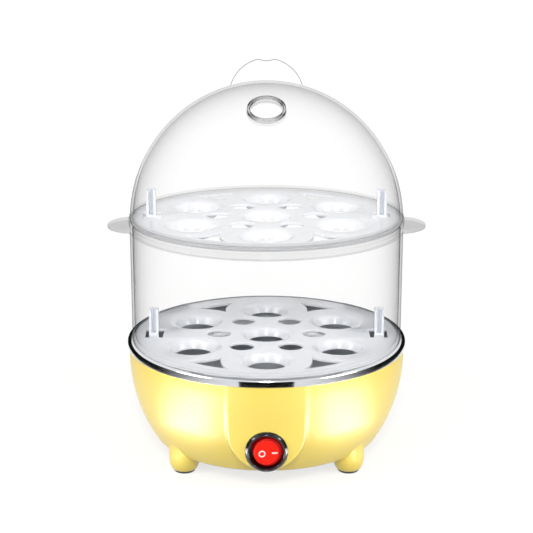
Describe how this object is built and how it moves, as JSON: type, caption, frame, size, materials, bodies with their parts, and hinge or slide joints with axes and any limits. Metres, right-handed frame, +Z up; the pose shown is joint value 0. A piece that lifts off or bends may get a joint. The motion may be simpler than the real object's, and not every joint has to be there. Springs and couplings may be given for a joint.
{
  "type": "egg cooker",
  "caption": "Two-tier electric egg cooker: round yellow base with a heated pan and rocker switch, two egg racks, clear steam tier and domed lid.",
  "frame": {"origin": "on the cooker's upright axis, level with the soles of its feet", "axes": "+Z up along the axis, -Y towards the switch side, +X to the right seen from the switch side; the steam tier's ears lie along X"},
  "size_m": [0.18, 0.16, 0.2264],
  "materials": {
    "yellow_plastic": "glossy moulded polypropylene",
    "cover_plastic": "fine moulded grain",
    "trim_steel": "polished stainless",
    "pan_steel": "satin stainless with spun marks",
    "silicone": "soft translucent",
    "aluminium": "cast, dull",
    "zinc_steel": "zinc plated",
    "brass": "bare brass",
    "sleeve": "woven glass sleeve",
    "ceramic": "unglazed ceramic",
    "gland_rubber": "matt",
    "terminal_plastic": "matt moulded",
    "lead_brown": "soft insulation",
    "lead_blue": "soft insulation",
    "lead_green": "soft insulation",
    "pad_rubber": "matt",
    "black_plastic": "polished",
    "lamp_glass": "clear bulb",
    "red_plastic": "polished, translucent rim",
    "rack_plastic": "satin moulded",
    "clear_plastic": "clear, polished"
  },
  "bodies": {
    "base": {"base_housing": "yellow_plastic", "bottom_cover": "cover_plastic", "foot_pad_1": "pad_rubber", "foot_pad_2": "pad_rubber", "foot_pad_3": "pad_rubber", "foot_pad_4": "pad_rubber", "cover_screw_1": "zinc_steel", "cover_screw_2": "zinc_steel", "cover_screw_3": "zinc_steel", "cover_screw_4": "zinc_steel", "trim_ring": "trim_steel", "heating_pan": "pan_steel", "pan_gasket": "silicone", "heat_spreader": "aluminium", "heating_element": "aluminium", "element_bush_1": "ceramic", "element_bush_2": "ceramic", "clamp_bar": "zinc_steel", "clamp_screw_1": "zinc_steel", "clamp_screw_2": "zinc_steel", "thermostat": "brass", "thermal_fuse": "sleeve", "fuse_clip": "zinc_steel", "earth_stud": "zinc_steel", "cord_gland": "gland_rubber", "cord_clamp": "cover_plastic", "cord_clamp_screw_1": "zinc_steel", "cord_clamp_screw_2": "zinc_steel", "terminal_block": "terminal_plastic", "lead_live": "lead_brown", "lead_switched": "lead_brown", "lead_thermostat": "lead_brown", "lead_neutral": "lead_blue", "lead_fuse": "lead_blue", "lead_earth": "lead_green", "switch_bezel": "black_plastic", "switch_body": "black_plastic", "switch_lamp": "lamp_glass", "switch_blade_1": "brass", "switch_blade_2": "brass", "switch_blade_3": "brass"},
    "rocker": {"switch_rocker": "red_plastic"},
    "lower_rack": {"egg_rack_lower": "rack_plastic"},
    "tier": {"steam_tier": "clear_plastic"},
    "upper_rack": {"egg_rack_upper": "rack_plastic"},
    "lid": {"lid": "clear_plastic"}
  },
  "joints": [
    {"name": "rocker_tilt", "type": "hinge", "parent": "base", "child": "rocker", "pos_m": [0, -0.072, 0.027], "axis": [0, 0, -1], "range_deg": [0, 18]},
    {"name": "lower_rack_lift", "type": "slide", "parent": "base", "child": "lower_rack", "axis": [0, 0, 1], "range_m": [0, 0.03]},
    {"name": "tier_lift", "type": "slide", "parent": "lower_rack", "child": "tier", "axis": [0, 0, 1], "range_m": [0, 0.03]},
    {"name": "upper_rack_lift", "type": "slide", "parent": "tier", "child": "upper_rack", "axis": [0, 0, 1], "range_m": [0, 0.03]},
    {"name": "lid_lift", "type": "slide", "parent": "upper_rack", "child": "lid", "axis": [0, 0, 1], "range_m": [0, 0.08]}
  ]
}
